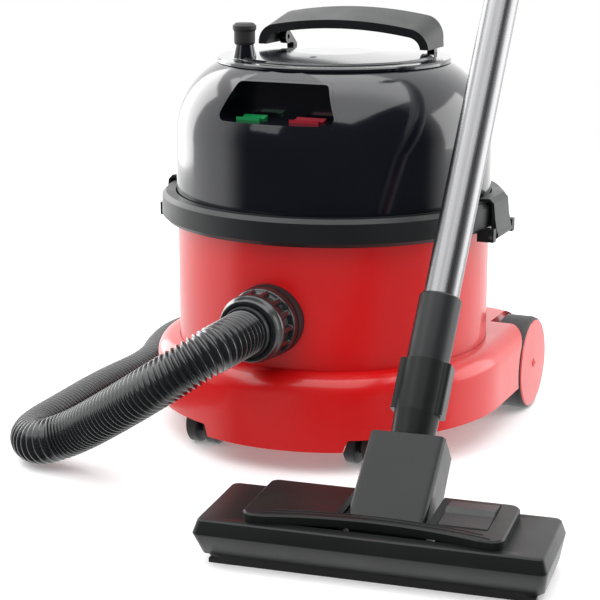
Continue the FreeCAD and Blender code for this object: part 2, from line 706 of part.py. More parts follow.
# ---------------------------------------------------------------- hose on the floor
HOSE_ROUTE = [
    (0, -214, 145), (0, -246, 145), (-14, -272, 136), (-54, -288, 108), (-110, -275, 71),
    (-160, -254.5, 40), (-196, -262, 25), (-226, -236, 22.3), (-231, -150, 22.3), (-236, -66, 22.3),
    (-230, 30, 22.3), (-262, 120, 22.3), (-262, 158, 22.3),
]


def arc_tube_edges(points):
    """Straight runs joined by tangent arcs, and the arcs' radii."""
    spots = [Vector(*point) for point in points]
    edges, radii, start = [], [], spots[0]
    for before, corner, after in zip(spots, spots[1:], spots[2:]):
        arriving, leaving = corner - before, after - corner
        turn = arriving.getAngle(leaving)
        reach = 0.45 * min(arriving.Length, leaving.Length)
        arriving, leaving = Vector(arriving).normalize(), Vector(leaving).normalize()
        first, last = corner - arriving * reach, corner + leaving * reach
        radius = reach / math.tan(turn / 2)
        inward = Vector(leaving - arriving).normalize()
        middle = corner + inward * (radius / math.cos(turn / 2) - radius)
        edges.append(Part.LineSegment(start, first).toShape())
        edges.append(Part.Arc(first, middle, last).toShape())
        radii.append(radius)
        start = last
    edges.append(Part.LineSegment(start, spots[-1]).toShape())
    return edges, radii


def tube_along(edges, radius, name):
    """A round solid along tangent edges, checked against its section times its length."""
    path = Part.Wire(edges)
    first = path.Edges[0]
    heading = first.tangentAt(first.FirstParameter)
    ring = Part.Wire([Part.Circle(first.valueAt(first.FirstParameter), heading, radius).toShape()])
    solid = path.makePipeShell([ring], True, False)
    expected = math.pi * radius ** 2 * path.Length
    print("%s: %.0f mm long, volume %.4f of section times length"
          % (name, path.Length, solid.Volume / expected))
    return solid


def build_hose():
    radius = D["hose_radius"].value
    edges, radii = arc_tube_edges(HOSE_ROUTE)
    print("hose arc radii:", ", ".join("%.0f" % value for value in radii))
    hose = doc.addObject("Part::Feature", "hose")
    hose.Shape = tube_along(edges, radius, "hose_tube")
    piece("hose_tube", hose)
    tail = doc.addObject("Part::Feature", "tail")
    tail.Shape = tube_along(tail_edges(), radius, "hose_tail")
    piece("hose_tail", tail)
    long = D["end_cuff_long"]
    end_cuff = revolved("end_cuff", [
        (16, 0), (radius + 0.2, 0), (radius + 0.2, 34), (20.5, 38), (20.5, 42), (19.5, 44),
        (18.6, long), (16, long)],
        (-D["tail_end"], D["tail_back"], D["hose_up"]), (-1, 0, 0))
    piece("hose_end_cuff", end_cuff)


def tail_edges():
    """Behind the machine: a bend to the right, a half turn back to the left, and a straight run."""
    side, turn, back, wide = (D[name].value for name in ("tail_side", "tail_turn", "tail_back",
                                                         "tail_loop"))
    up, end = D["hose_up"].value, D["tail_end"].value
    bend, loop = Vector(turn - side, back - 2 * wide - turn, up), Vector(turn - side, back - wide, up)
    slant = math.sqrt(0.5)
    first = Part.Arc(bend - Vector(turn, 0, 0), bend + turn * slant * Vector(-1, 1, 0),
                     bend + Vector(0, turn, 0))
    second = Part.Arc(loop - Vector(0, wide, 0), loop + Vector(wide, 0, 0), loop + Vector(0, wide, 0))
    run = Part.LineSegment(loop + Vector(0, wide, 0), Vector(-end, back, up))
    return [edge.toShape() for edge in (first, second, run)]


# ---------------------------------------------------------------- floor tool, in its own frame
def tool_frame():
    return Placement(vector((D["tool_side"], -D["tool_front"], 0)),
                     Rotation(Vector(0, 0, 1), D["tool_turn"].value))


NECK_OPENING = (-34.5, 42.5)
PEDAL_ACROSS = (50, 92)
PEDAL_BACK = 6
PEDAL_UP = 45
MOUTHS = ((-120, -32), (44, 116))
BRUSH_FRONTS = (-27, -5.5)
ROLLER_SPOTS = (-112, 107)
ROLLER_BACK = 30


def cover_sections(inset):
    """Plan outlines of the tool's cover from its hem to its top."""
    rows = ((D["sole_high"] - (1 if inset else 0), -146, 141, -38, 44, 5.5),
            (30, -150, 145, -53, 47, 7), (D["cover_high"] - inset, -146, 141, -49, 44, 6.5))
    return [(height, rounded_rectangle(left + inset, right - inset, front + inset, back - inset,
                                       round_corner - inset))
            for height, left, right, front, back, round_corner in rows]


def pod_outline():
    """The raised part of the cover: hollowed in front, bowed at the right end."""
    return [(-99, -44, 11.1), (-90, -43.5), (88, -43.5, -330), (98, -44), (108, -34, 10),
            (108, 32), (98, 42, 10), (-102, 42), (-110, 34, 8), (-110, -33)]


def build_tool_shell(frame):
    wall = D["cover_wall"].value
    outside = lofted("cover_outside", cover_sections(0))
    inside = lofted("cover_inside", cover_sections(wall))
    notch = box((NECK_OPENING[0], -22, 7), (NECK_OPENING[1], 60, 60))
    pedal_hole = box((PEDAL_ACROSS[0], -24, 30), (PEDAL_ACROSS[1], 36, 60))
    piece("tool_cover", cut(outside, inside, notch, pedal_hole), frame)
    pod = padded("pod", "XY_Plane", pod_outline(), D["pod_high"] - D["cover_high"], D["cover_high"])
    bevel_edges(pod, 1.5, flat_at(D["pod_high"].value))
    pin_hole = cylinder(2.1, 60, (41, PEDAL_BACK, PEDAL_UP), (1, 0, 0))
    notch = box((NECK_OPENING[0], -22, 7), (NECK_OPENING[1], 60, 60))
    pedal_hole = box((PEDAL_ACROSS[0], -24, 30), (PEDAL_ACROSS[1], 36, 60))
    piece("tool_pod", cut(pod, notch, pedal_hole, pin_hole), frame)


def build_sole(frame):
    low, high = D["sole_low"], D["sole_high"]
    plate = padded("sole", "XY_Plane", rounded_rectangle(-143, 138, -37, 43, 13), high - low, low)
    strip = box((-140, -37, 0), (135, -31, low))
    mouths = [box((first, -16, 0), (last, -6, 20)) for first, last in MOUTHS]
    middle_mouth = box((-28, -16, 0), (36, -6, 20))
    slots = [box((-133.7, front, -1), (128.7, front + 5.4, 20)) for front in BRUSH_FRONTS]
    wells = [box((across - 7, 19, 0), (across + 7, 39.5, 20)) for across in ROLLER_SPOTS]
    posts = [box((across + side * 9 - 1.5, ROLLER_BACK - 4.5, high),
                 (across + side * 9 + 1.5, ROLLER_BACK + 4.5, 14))
             for across in ROLLER_SPOTS for side in (-1, 1)]
    axle = cylinder(2.05, 300, (-150, ROLLER_BACK, 8.4), (1, 0, 0))
    piece("sole_plate", cut(fuse(plate, strip, *posts), *mouths, middle_mouth, *slots, *wells, axle),
          frame)
    for name, across in zip(("left", "right"), ROLLER_SPOTS):
        wheel = cylinder(8.4, 12, (across - 6, ROLLER_BACK, 8.4), (1, 0, 0))
        spindle = cylinder(2, 20.4, (across - 10.2, ROLLER_BACK, 8.4), (1, 0, 0))
        piece("tool_roller_" + name, fuse(wheel, spindle), frame)
    strips = [box((-133, front + 0.4, 0.5), (128, front + 5, 9.8)) for front in BRUSH_FRONTS]
    ties = [box((across - 3, BRUSH_FRONTS[0] + 5, 8.3), (across + 3, BRUSH_FRONTS[1] + 0.4, 9.8))
            for across in (-126, -30.5, 39, 121)]
    piece("brush_strips", fuse(*strips, *ties), frame)


def build_pedal(frame):
    left, right = PEDAL_ACROSS[0] + 0.6, PEDAL_ACROSS[1] - 0.6
    treads = padded("treads", "YZ_Plane", [
        (-22, 45.5), (-4, 44), (4, 44), (33, 45.5), (33, 51), (12, 53.5), (6, 50.5), (0, 50.5),
        (-20, 50)], right - left, left)
    boss = cylinder(4, right - left, (left, PEDAL_BACK, PEDAL_UP), (1, 0, 0))
    stub = cylinder(2, right - left + 6, (left - 3, PEDAL_BACK, PEDAL_UP), (1, 0, 0))
    piece("brush_pedal", fuse(treads, boss, stub), frame)


def lean(angle, drift=0):
    """A direction that leans back by an angle from upright, and a little to the side."""
    back, side = math.radians(number(angle)), math.radians(number(drift))
    return (math.sin(side), math.sin(back) * math.cos(side), math.cos(back) * math.cos(side))


def along(start, way, distance):
    return tuple(number(a) + b * number(distance) for a, b in zip(start, way))


def build_neck(frame):
    middle, half = D["neck_x"], D["neck_half"]
    back, up = D["pivot_back"], D["pivot_up"]
    bend = (middle, D["bend_back"], D["bend_up"])
    way = lean(D["neck_lean"])
    bearings = [box((middle + side * 41 - 2, 3, 8.2), (middle + side * 41 + 2, 33, 38))
                for side in (-1, 1)]
    pivots = [cylinder(5, 14.5, (middle + side * 35.75 - 7.25, back, up), (1, 0, 0))
              for side in (-1, 1)]
    piece("neck_bearings", group(*[fuse(plate, pivot) for plate, pivot in zip(bearings, pivots)]), frame)
    block = padded("neck_side", "YZ_Plane", [
        (-15, 42), (-8, 46.5), (63, 96), (90, 67), (61, 39.2), (34, 21), (18, 12), (2, 24)],
        half * 2, middle - half)
    round_edges(block, 6, lambda edge: edge.BoundBox.XLength < 0.1 and edge.BoundBox.YLength > 60
                and edge.BoundBox.ZMin > 45)
    barrel = cylinder(D["pivot_radius"], half * 2 - 0.6, (middle - half + 0.3, back, up), (1, 0, 0))
    pin_bore = cylinder(5.05, 120, (middle - 60, back, up), (1, 0, 0))
    bore = cylinder(D["elbow_radius"] + 0.05, 90, along(bend, way, -34), way)
    duct = cylinder(13, 120, along(bend, way, -100), way)
    piece("neck_block", cut(fuse(block, barrel), pin_bore, bore, duct), frame)


def build_elbow(frame):
    bend = (D["neck_x"], D["bend_back"], D["bend_up"])
    down, way = lean(D["neck_lean"]), lean(D["wand_lean"], D["wand_drift"])
    radius, wing = D["elbow_radius"], D["wing_half"]
    spigot = cylinder(radius, 34, along(bend, down, -32), down)
    start, top, sleeve_end = D["collar_start"], D["collar_top"], D["sleeve_end"]
    ball = doc.addObject("Part::Sphere", "ball")
    bind(ball, "Radius", radius + 1.5)
    place(ball, bend)
    throat = cone(radius + 1.5, radius + 2.5, start, bend, way)
    collar = cylinder(D["collar_radius"], top - start, along(bend, way, start), way)
    wings = padded("collar_wings", "XY_Plane", rounded_rectangle(-wing, wing, -10, 14, 4), top - start)
    place(wings, along(bend, way, start), way)
    bores = [cylinder(13.5, 60, along(bend, down, -50), down), cylinder(13.5, 120, bend, way),
             cylinder(16.4, 60, along(bend, way, top - 10), way)]
    piece("elbow_tube", cut(fuse(spigot, ball, throat, collar, wings), *bores), frame)
    bore, long = D["wand_radius"] + 0.1, sleeve_end - top
    sleeve = revolved("sleeve", [
        (bore, 0), (D["sleeve_radius"], 0), (D["sleeve_radius"], long - 1.5),
        (D["sleeve_radius"] - 1, long), (bore, long)], along(bend, way, top), way)
    piece("wand_sleeve", sleeve, frame)


def bent_tube(radius, wall, start, way, straight, bend, turn, tail, side):
    """A round tube with one bend; side is the axis that the bend turns about."""
    way, side = Vector(*way), Vector(*side).normalize()
    first = Vector(*start)
    knee = first + way * straight
    inward = side.cross(way).normalize()
    centre = knee + inward * bend
    edges = [Part.LineSegment(first, knee).toShape()]
    swing = [centre + Rotation(side, angle).multVec(knee - centre) for angle in (turn / 2, turn)]
    edges.append(Part.Arc(knee, *swing).toShape())
    leaving = Rotation(side, turn).multVec(way)
    edges.append(Part.LineSegment(swing[1], swing[1] + leaving * tail).toShape())
    path = Part.Wire(edges)
    rings = [Part.Wire([Part.Circle(first, way, size).toShape()]) for size in (radius, radius - wall)]
    outer, inner = (path.makePipeShell([ring], True, False) for ring in rings)
    return outer.cut(inner), swing[1], leaving


def build_wand(frame):
    bend = (D["neck_x"], D["bend_back"], D["bend_up"])
    way = lean(D["wand_lean"], D["wand_drift"])
    radius, wall, long = D["wand_radius"], D["wand_wall"], D["wand_long"]
    tube = revolved("tube", [(radius - wall, 0), (radius, 0), (radius, long), (radius - wall, long)],
                    along(bend, way, D["wand_start"]), way)
    piece("wand_tube", tube, frame)
    top = along(bend, way, D["wand_start"] + long)
    across = Vector(1, 0, 0)
    hand, end, leaving = bent_tube(
        radius.value, wall.value, along(top, way, 0.2), way, 60, D["hand_bend"].value,
        D["hand_turn"].value, 100, across)
    tip, thin = end + leaving * 100, D["end_radius"].value
    hand = hand.fuse(Part.makeCylinder(thin, 50, tip, leaving))
    hand = hand.cut(Part.makeCylinder(thin - wall.value, 52, tip - leaving, leaving))
    spigot = Part.makeCylinder(14.6, 40, Vector(*along(top, way, -39)), Vector(*way))
    spigot = spigot.fuse(Part.makeCylinder(15.4, 3, Vector(*along(top, way, 0.2)), Vector(*way)))
    spigot = spigot.cut(Part.makeCylinder(13.6, 60, Vector(*along(top, way, -45)), Vector(*way)))
    tube_feature = doc.addObject("Part::Feature", "hand")
    tube_feature.Shape = hand.fuse(spigot).removeSplitter()
    piece("hand_tube", tube_feature, frame)
    grip_start = end + leaving * 36
    heading = tuple(leaving)
    grip = revolved("grip", [(radius, 0), (18.5, 0), (19.5, 2), (19.5, 58), (18.5, 60), (radius, 60)],
                    tuple(grip_start), heading)
    piece("hand_grip", grip, frame)
    slider = revolved("slider", [(19.6, 0), (21.2, 0), (22, 2), (22, 18), (21.2, 20), (19.6, 20)],
                      tuple(grip_start + leaving * 12), heading)
    piece("bleed_slider", slider, frame)


# ---------------------------------------------------------------- build, check and write
def build_all():
    build_tub()
    build_chassis()
    build_ring()
    build_latch("latch_left", -1)
    build_latch("latch_right", 1)
    build_rear_wheels()
    build_caster("left", -1)
    build_caster("right", 1)
    build_inlet()
    build_bag_and_filter()
    outer = build_dome()
    screws = build_head_base()
    build_top_cover()
    build_handle()
    build_tray(outer)
    for name, (spot, half) in ROCKERS.items():
        build_rocker(name, spot, half)
    build_motor(screws)
    build_winder()
    build_hose()
    frame = tool_frame()
    build_tool_shell(frame)
    build_sole(frame)
    build_pedal(frame)
    build_neck(frame)
    build_elbow(frame)
    build_wand(frame)


def check_and_write():
    doc.recompute()
    failed = [thing.Name for thing in doc.Objects if {"Invalid", "Error"} & set(thing.State)]
    if failed:
        raise SystemExit("failed objects: " + ", ".join(failed))
    for name, thing in pieces.items():
        shape = thing.Shape
        if shape.isNull() or not shape.isValid() or not shape.Solids:
            raise SystemExit("bad shape: " + name)
    os.makedirs("parts", exist_ok=True)
    for name, thing in pieces.items():
        thing.Shape.exportStep("parts/%s.step" % name)
        print("%-20s solids %d volume %.0f" % (name, len(thing.Shape.Solids), thing.Shape.Volume))


build_all()
check_and_write()
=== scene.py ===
import json
import math

import bmesh
import bpy
from mathutils import Matrix, Vector, noise


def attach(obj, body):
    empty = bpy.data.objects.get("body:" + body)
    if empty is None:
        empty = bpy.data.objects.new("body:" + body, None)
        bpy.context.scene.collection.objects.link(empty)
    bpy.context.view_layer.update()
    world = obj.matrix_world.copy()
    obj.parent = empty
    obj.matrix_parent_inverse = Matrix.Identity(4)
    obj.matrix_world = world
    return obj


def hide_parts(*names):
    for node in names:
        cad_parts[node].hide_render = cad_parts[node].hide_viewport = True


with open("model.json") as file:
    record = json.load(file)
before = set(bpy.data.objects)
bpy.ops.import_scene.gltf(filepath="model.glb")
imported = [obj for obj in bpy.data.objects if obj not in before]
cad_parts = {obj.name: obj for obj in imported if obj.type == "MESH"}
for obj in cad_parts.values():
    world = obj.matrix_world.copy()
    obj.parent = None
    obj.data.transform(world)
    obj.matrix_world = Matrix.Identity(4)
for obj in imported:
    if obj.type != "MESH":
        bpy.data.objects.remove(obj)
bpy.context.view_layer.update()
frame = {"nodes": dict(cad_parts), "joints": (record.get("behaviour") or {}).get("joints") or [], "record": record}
nodes = frame["nodes"]
SLOT_OF = {part["node"]: part["material_slot"] for part in frame["record"]["subparts"]}
MM = 0.001


# ---------------------------------------------------------------- camera
CAMERA_PLACE = (0.6598, -1.5857, 0.553)
CAMERA_WAY = (-0.3908, 0.8886, -0.2402)
CAMERA_LENS, CAMERA_SENSOR = 102, 36


def add_camera():
    """Looks a little to the left of straight on and down, from far off with a long lens."""
    camera = bpy.data.objects.new("camera", bpy.data.cameras.new("camera"))
    camera.data.sensor_width = CAMERA_SENSOR
    camera.data.lens = CAMERA_LENS
    camera.location = CAMERA_PLACE
    forward = Vector(CAMERA_WAY).normalized()
    camera.rotation_euler = forward.to_track_quat("-Z", "Y").to_euler()
    bpy.context.scene.collection.objects.link(camera)
    bpy.context.scene.camera = camera
    bpy.context.scene.view_settings.view_transform = "Standard"


# ---------------------------------------------------------------- materials
NOISE_ROUGHNESS = 0.55


class Recipe:
    """A material's node tree, with short calls for the nodes that the finishes share."""

    def __init__(self, name):
        self.material = bpy.data.materials.new(name)
        self.material.use_nodes = True
        self.tree = self.material.node_tree
        self.tree.nodes.clear()
        self.shader = self.add("ShaderNodeBsdfPrincipled")
        output = self.add("ShaderNodeOutputMaterial")
        self.join(self.shader, "BSDF", output, "Surface")
        self.coords = self.add("ShaderNodeTexCoord")

    def add(self, kind, **values):
        """A new node; each value goes to the socket of that name, or else to the attribute."""
        node = self.tree.nodes.new(kind)
        for key, value in values.items():
            if key in node.inputs:
                node.inputs[key].default_value = value
            else:
                setattr(node, key, value)
        return node

    def join(self, source, output, target, entry):
        self.tree.links.new(source.outputs[output], target.inputs[entry])

    def set(self, **values):
        """Plain values on the shader's sockets, with _ for a space in a name."""
        for key, value in values.items():
            self.shader.inputs[key.replace("_", " ")].default_value = value

    def drawn_out(self, along, stretch):
        """Texture coordinates that are stretched along a direction."""
        mapping = self.add("ShaderNodeMapping", vector_type="TEXTURE")
        mapping.inputs["Scale"].default_value = (1, 1, stretch)
        mapping.inputs["Rotation"].default_value = Vector(along).to_track_quat("Z", "Y").to_euler()
        self.join(self.coords, "Object", mapping, "Vector")
        return mapping

    def noise(self, scale, detail, mapping=None):
        texture = self.add("ShaderNodeTexNoise", Scale=scale, Detail=detail,
                           Roughness=NOISE_ROUGHNESS)
        self.join(mapping or self.coords, "Vector" if mapping else "Object", texture, "Vector")
        return texture

    def ramp(self, source, output, low, high, start, end):
        """Spreads a texture between two colours or two grey levels."""
        ramp = self.add("ShaderNodeValToRGB")
        ramp.color_ramp.elements[0].position = start
        ramp.color_ramp.elements[1].position = end
        for element, value in zip(ramp.color_ramp.elements, (low, high)):
            element.color = (*value, 1) if isinstance(value, tuple) else (value, value, value, 1)
        self.join(source, output, ramp, "Fac")
        return ramp

    def vary_colour(self, low, high, scale, detail=4):
        """Patches between two colours; the scale says how small they are."""
        ramp = self.ramp(self.noise(scale, detail), "Fac", low, high, 0.25, 0.75)
        self.join(ramp, "Color", self.shader, "Base Color")

    def vary_roughness(self, low, high, scale, mapping=None):
        """Patches that are a little more or less glossy."""
        ramp = self.ramp(self.noise(scale, 2, mapping), "Fac", low, high, 0.2, 0.8)
        self.join(ramp, "Color", self.shader, "Roughness")

    def bumps(self, *layers):
        """Layers of (texture, output, strength, distance), one on the other."""
        previous = None
        for texture, output, strength, distance in layers:
            bump = self.add("ShaderNodeBump", Strength=strength, Distance=distance)
            self.join(texture, output, bump, "Height")
            if previous:
                self.join(previous, "Normal", bump, "Normal")
            previous = bump
        self.join(previous, "Normal", self.shader, "Normal")


COLOUR_PATCHES, GLOSS_PATCHES, WAVE_SCALE = 9, 35, 14  # noise scales of moulded plastic
GRAIN_DEPTH, WAVE_DEPTH = 0.0002, 0.002


def moulded(name, low, high, rough, grain=0.0, grain_scale=1500, coat=0.0, wave=0.0, shine=0.5):
    """Injection-moulded plastic: slightly uneven colour and gloss, with a fine moulded grain.

    low and high are the colour's ends and rough has the roughness's; grain and wave are bump strengths.
    """
    recipe = Recipe(name)
    recipe.set(IOR=1.48, Specular_IOR_Level=shine, Coat_Weight=coat, Coat_Roughness=0.05)
    recipe.vary_colour(low, high, COLOUR_PATCHES, 1)
    recipe.vary_roughness(rough[0], rough[1], GLOSS_PATCHES)
    layers = []
    if grain:
        layers.append((recipe.noise(grain_scale, 2), "Fac", grain, GRAIN_DEPTH))
    if wave:
        layers.append((recipe.noise(WAVE_SCALE, 2), "Fac", wave, WAVE_DEPTH))
    if layers:
        recipe.bumps(*layers)
    return recipe.material


def red_plastic():
    return moulded("red_plastic", (0.52, 0.003, 0.004), (0.56, 0.004, 0.005), (0.28, 0.34),
                   coat=0.3, shine=0.4)


def dark_plastic():
    return moulded("dark_plastic", (0.008, 0.009, 0.0095), (0.012, 0.013, 0.014), (0.34, 0.44),
                   grain=0.22, grain_scale=1700, shine=0.35)


def black_gloss():
    return moulded("black_gloss", (0.003, 0.0035, 0.006), (0.005, 0.0055, 0.009), (0.1, 0.15),
                   coat=0.3, wave=0.02)


def black_matte():
    return moulded("black_matte", (0.012, 0.012, 0.013), (0.018, 0.018, 0.019), (0.5, 0.62),
                   grain=0.2, grain_scale=1300)


def tool_plastic():
    return moulded("tool_plastic", (0.007, 0.008, 0.008), (0.01, 0.011, 0.011), (0.3, 0.4),
                   grain=0.2, grain_scale=1800, shine=0.22)


def rubber():
    return moulded("rubber", (0.012, 0.012, 0.013), (0.017, 0.017, 0.018), (0.52, 0.66),
                   grain=0.25, grain_scale=1100)


def tread():
    return moulded("tread", (0.02, 0.021, 0.022), (0.03, 0.031, 0.033), (0.5, 0.62),
                   grain=0.25, grain_scale=1000)


def hose_plastic():
    return moulded("hose_plastic", (0.008, 0.009, 0.01), (0.012, 0.013, 0.014), (0.2, 0.3),
                   grain=0.1, coat=0.25)


def grip_plastic():
    """The pebbled surface of the pieces that a foot or a hand holds."""
    return moulded("grip_plastic", (0.012, 0.013, 0.013), (0.02, 0.021, 0.022), (0.4, 0.55),
                   grain=0.9, grain_scale=620, shine=0.4)


LINE_STRETCH, LINE_SCALE, LINE_GLOSS = 300, 700, 500


def brushed_steel(name, along):
    """Steel with fine lines that run along a direction, each far longer than it is wide."""
    recipe = Recipe(name)
    recipe.set(Metallic=1.0, Anisotropic=0.4)
    mapping = recipe.drawn_out(along, LINE_STRETCH)
    lines = recipe.noise(LINE_SCALE, 2, mapping)
    ramp = recipe.ramp(lines, "Fac", (0.19, 0.19, 0.195), (0.24, 0.24, 0.245), 0.3, 0.7)
    recipe.join(ramp, "Color", recipe.shader, "Base Color")
    recipe.vary_roughness(0.24, 0.3, LINE_GLOSS, mapping)
    return recipe.material


DULL_SHADE, METAL_PATCHES, METAL_GLOSS = 0.93, 60, 120


def bright_metal(name, colour, rough):
    """Bare metal, a little duller in patches."""
    recipe = Recipe(name)
    recipe.set(Metallic=1.0)
    recipe.vary_colour(tuple(DULL_SHADE * value for value in colour), colour, METAL_PATCHES)
    recipe.vary_roughness(rough, rough + 0.08, METAL_GLOSS)
    return recipe.material


FELT_PATCHES, FIBRE_SCALE, FIBRE_DEPTH = 260, 900, 0.0006


def felt(name, low, high):
    """Fleece or filter cloth: matt, with a fine fibrous surface."""
    recipe = Recipe(name)
    recipe.set(Roughness=0.95, Sheen_Weight=0.3)
    recipe.vary_colour(low, high, FELT_PATCHES, 6)
    recipe.bumps((recipe.noise(FIBRE_SCALE, 6), "Fac", 0.5, FIBRE_DEPTH))
    return recipe.material


def joint_axis(joint):
    return next(item["axis"] for item in frame["joints"] if item["name"] == joint)


def make_materials():
    return {
        "red_plastic": red_plastic(),
        "dark_plastic": dark_plastic(),
        "black_gloss": black_gloss(),
        "black_matte": black_matte(),
        "tool_plastic": tool_plastic(),
        "rubber": rubber(),
        "tread": tread(),
        "hose_plastic": hose_plastic(),
        "grip_plastic": grip_plastic(),
        "steel": brushed_steel("steel", joint_axis("wand_pull")),
        "steel_bright": bright_metal("steel_bright", (0.66, 0.66, 0.68), 0.2),
        "green_switch": moulded("green_switch", (0.008, 0.22, 0.06), (0.01, 0.27, 0.075), (0.25, 0.35),
                                grain=0.05),
        "red_switch": moulded("red_switch", (0.26, 0.01, 0.02), (0.31, 0.013, 0.026), (0.25, 0.35),
                              grain=0.05),
        "filter_fabric": felt("filter_fabric", (0.6, 0.59, 0.55), (0.74, 0.73, 0.7)),
        "bag_fabric": felt("bag_fabric", (0.72, 0.72, 0.69), (0.86, 0.86, 0.84)),
        "motor_metal": bright_metal("motor_metal", (0.4, 0.41, 0.43), 0.4),
        "copper": bright_metal("copper", (0.75, 0.33, 0.16), 0.3),
        "aluminium": bright_metal("aluminium", (0.75, 0.76, 0.78), 0.25),
        "bristle": moulded("bristle", (0.012, 0.012, 0.012), (0.03, 0.03, 0.03), (0.6, 0.8),
                           grain=0.5, grain_scale=2500),
    }


OWN_FINISH = {"brush_pedal": "grip_plastic", "hand_grip": "grip_plastic"}


def dress_cad_nodes():
    for name, thing in nodes.items():
        thing.data.materials.clear()
        thing.data.materials.append(finishes[OWN_FINISH.get(name, SLOT_OF[name])])


# ---------------------------------------------------------------- hose
LYING = 0.0223  # height of the hose's middle line where it lies on the floor
HOSE_ROUTE = [
    (0, -0.214, 0.145), (0, -0.246, 0.145), (-0.014, -0.272, 0.136), (-0.054, -0.288, 0.108),
    (-0.110, -0.275, 0.071), (-0.160, -0.2545, 0.040), (-0.196, -0.262, 0.025),
    (-0.226, -0.236, LYING), (-0.231, -0.150, LYING), (-0.236, -0.066, LYING),
    (-0.230, 0.030, LYING), (-0.262, 0.120, LYING),
]
HOSE_BENDS = (  # centre, radius, where the bend starts, its turn, points
    ((-0.160, 0.158, LYING), 0.102, 180, -90, 4),
    ((-0.160, 0.420, LYING), 0.160, -90, 180, 8),
)
HOSE_END = (-0.350, 0.580, LYING)
HOSE_RADIUS = 0.022
RIB_PITCH, RIB_DEPTH = 0.0056, 0.003
RIB_SHAPE = (0.0, 0.55, 1.0, 1.0, 0.55, 0.0)  # height of each station along one rib
CURVE_ORDER, CURVE_STEPS = 3, 24


def hose_points():
    """The route's listed points, then the two bends behind the machine, their points a little outside."""
    points = [Vector(point) for point in HOSE_ROUTE]
    for centre, radius, start, turn, count in HOSE_BENDS:
        step = math.radians(turn) / count
        outside = radius / math.cos(step / 2)
        for index in range(count):
            angle = math.radians(start) + (index + 0.5) * step
            points.append(Vector(centre) + outside * Vector((math.cos(angle), math.sin(angle), 0)))
    points.append(Vector(HOSE_END))
    return points


def smooth_line(name, points):
    """A NURBS curve through loose control points, read back as the points of its own line."""
    curve = bpy.data.curves.new(name, "CURVE")
    curve.dimensions = "3D"
    curve.resolution_u = CURVE_STEPS
    spline = curve.splines.new("NURBS")
    spline.points.add(len(points) - 1)
    for target, point in zip(spline.points, points):
        target.co = (*point, 1)
    spline.order_u = CURVE_ORDER
    spline.use_endpoint_u = True
    holder = bpy.data.objects.new(name, curve)
    mesh = bpy.data.meshes.new_from_object(holder)
    line = [vertex.co.copy() for vertex in mesh.vertices]
    bpy.data.objects.remove(holder)
    bpy.data.curves.remove(curve)
    return line


def even_stations(line, spacing):
    """Points evenly spaced along a line, and the line's length."""
    lengths = [0.0]
    for before, after in zip(line, line[1:]):
        lengths.append(lengths[-1] + (after - before).length)
    count = max(2, round(lengths[-1] / spacing))
    stations, index = [], 0
    for number in range(count + 1):
        want = lengths[-1] * number / count
        while index < len(lengths) - 2 and lengths[index + 1] < want:
            index += 1
        span = lengths[index + 1] - lengths[index]
        share = (want - lengths[index]) / span if span else 0
        stations.append(line[index].lerp(line[index + 1], share))
    return stations, lengths[-1]


def turn_angles(count):
    """Angles evenly spaced over a full turn."""
    return [2 * math.pi * step / count for step in range(count)]


def join_rings(mesh, rings):
    """Four-sided faces from each ring of vertices to the next."""
    for first, second in zip(rings, rings[1:]):
        count = len(first)
        for step in range(count):
            mesh.faces.new((first[step], first[(step + 1) % count],
                            second[(step + 1) % count], second[step]))


def sweep(name, stations, radius_at, sides=40):
    """A closed tube through the stations, without twist; radius_at gives each station's radius."""
    mesh = bmesh.new()
    rings, normal = [], None
    for index, centre in enumerate(stations):
        before = stations[max(index - 1, 0)]
        after = stations[min(index + 1, len(stations) - 1)]
        heading = (after - before).normalized()
        if normal is None:
            normal = heading.orthogonal().normalized()
        normal = (normal - heading * normal.dot(heading)).normalized()
        binormal = heading.cross(normal)
        radius = radius_at(index)
        ring = [mesh.verts.new(centre + radius * (math.cos(angle) * normal + math.sin(angle) * binormal))
                for angle in turn_angles(sides)]
        rings.append(ring)
    join_rings(mesh, rings)
    mesh.faces.new(reversed(rings[0]))
    mesh.faces.new(rings[-1])
    return finish_mesh(name, mesh)


def finish_mesh(name, mesh, smooth=True):
    """Turns a bmesh into an object of the scene."""
    data = bpy.data.meshes.new(name)
    mesh.to_mesh(data)
    mesh.free()
    for face in data.polygons:
        face.use_smooth = smooth
    thing = bpy.data.objects.new(name, data)
    bpy.context.scene.collection.objects.link(thing)
    return thing


def add_hose():
    """The ribbed hose: rounded ribs, with narrow valleys between them."""
    line = smooth_line("hose_line", hose_points())
    steps = len(RIB_SHAPE)
    stations, length = even_stations(line, RIB_PITCH / steps)
    hose = sweep("hose", stations, lambda index: HOSE_RADIUS - RIB_DEPTH * (1 - RIB_SHAPE[index % steps]))
    hose.data.materials.append(finishes["hose_plastic"])
    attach(hose, "machine")
    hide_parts("hose_tube", "hose_tail")


# ---------------------------------------------------------------- bag and filter
BAG_LOW, BAG_HIGH, BAG_WIDE = 0.0665, 0.148, 0.113
SEAM_UP, SEAM_THICK, SEAM_OUT, SEAM_CLEAR = 0.106, 0.0012, 0.0008, 0.004
CROWN_ROUND, CROWN_FLAT = 0.8, 1.35  # powers that shape a panel's crown
PANEL_STEPS, BAG_SIDES = 22, 200
CREASES, CREASE_DEPTH, CREASE_START = 34, 0.0022, 0.35  # they start at this share of the radius
SLACK_DEPTH, SLACK_ROUND, SLACK_UP = 0.002, 2, 40  # unevenness, its scale round the bag and up it


def turned_rings(mesh, rows, sides, wobble):
    """Joined rings of vertices about the upright middle line; a row is (radius, height)."""
    rings = []
    for radius, height in rows:
        ring = []
        for angle in turn_angles(sides):
            out, up = wobble(angle, radius, height)
            ring.append(mesh.verts.new(((radius + out) * math.cos(angle),
                                        (radius + out) * math.sin(angle), height + up)))
        rings.append(ring)
    join_rings(mesh, rings)
    return rings


